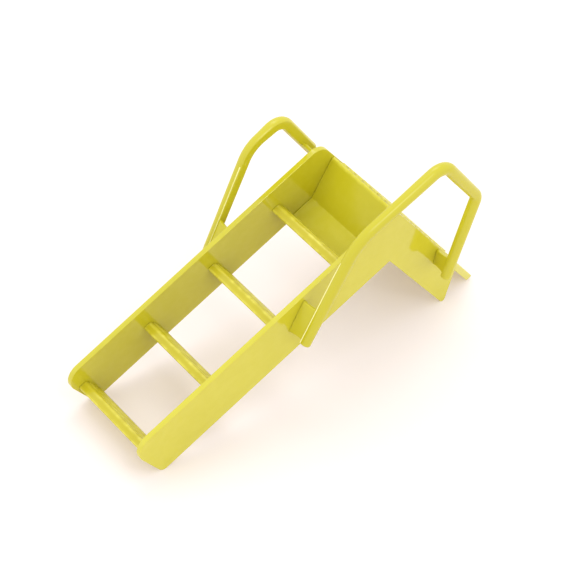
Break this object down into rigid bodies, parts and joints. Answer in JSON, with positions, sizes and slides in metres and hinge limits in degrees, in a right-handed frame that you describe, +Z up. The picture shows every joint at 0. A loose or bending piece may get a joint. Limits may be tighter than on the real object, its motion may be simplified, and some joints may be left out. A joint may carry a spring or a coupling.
{
  "type": "slide ladder and platform unit",
  "caption": "Moulded ladder with side panels, treads, a studded platform and outboard handrails for a child's slide, stored lying on its back.",
  "frame": {"origin": "centre of the bounding box in plan, on the floor the unit lies on", "axes": "+X along the floor from the feet to the platform end, +Z up from the floor, +Y across, towards the short handrail. Lying on its back the side panels rise 21.5 degrees from the floor. To stand it up for use, turn it 56.8 degrees about -Y, so that the foot ends, treads and deck come level."},
  "size_m": [1.2352, 0.5237, 0.6942],
  "materials": {
    "panel": "moulded, smooth gloss",
    "tread": "moulded, smooth gloss with grip ribs",
    "deck": "moulded, gloss with raised grip studs",
    "board": "moulded, smooth gloss",
    "frame": "moulded, smooth gloss",
    "rail": "moulded, smooth gloss"
  },
  "bodies": {
    "root": {"side_panel_near": "panel", "side_panel_far": "panel", "tread_1": "tread", "tread_2": "tread", "tread_3": "tread", "tread_4": "tread", "deck": "deck", "apron_panel": "board", "riser_panel": "board", "rear_lip": "deck", "front_deck_beam": "frame", "rear_deck_beam": "frame", "deck_ledger_near": "frame", "deck_ledger_far": "frame", "deck_joist_near": "frame", "deck_joist_far": "frame", "handrail_near": "rail", "handrail_far": "rail", "front_rail_bracket_near": "rail", "front_rail_bracket_far": "rail", "rear_rail_bracket_near": "rail", "top_rail_bracket_far": "rail"}
  },
  "joints": []
}
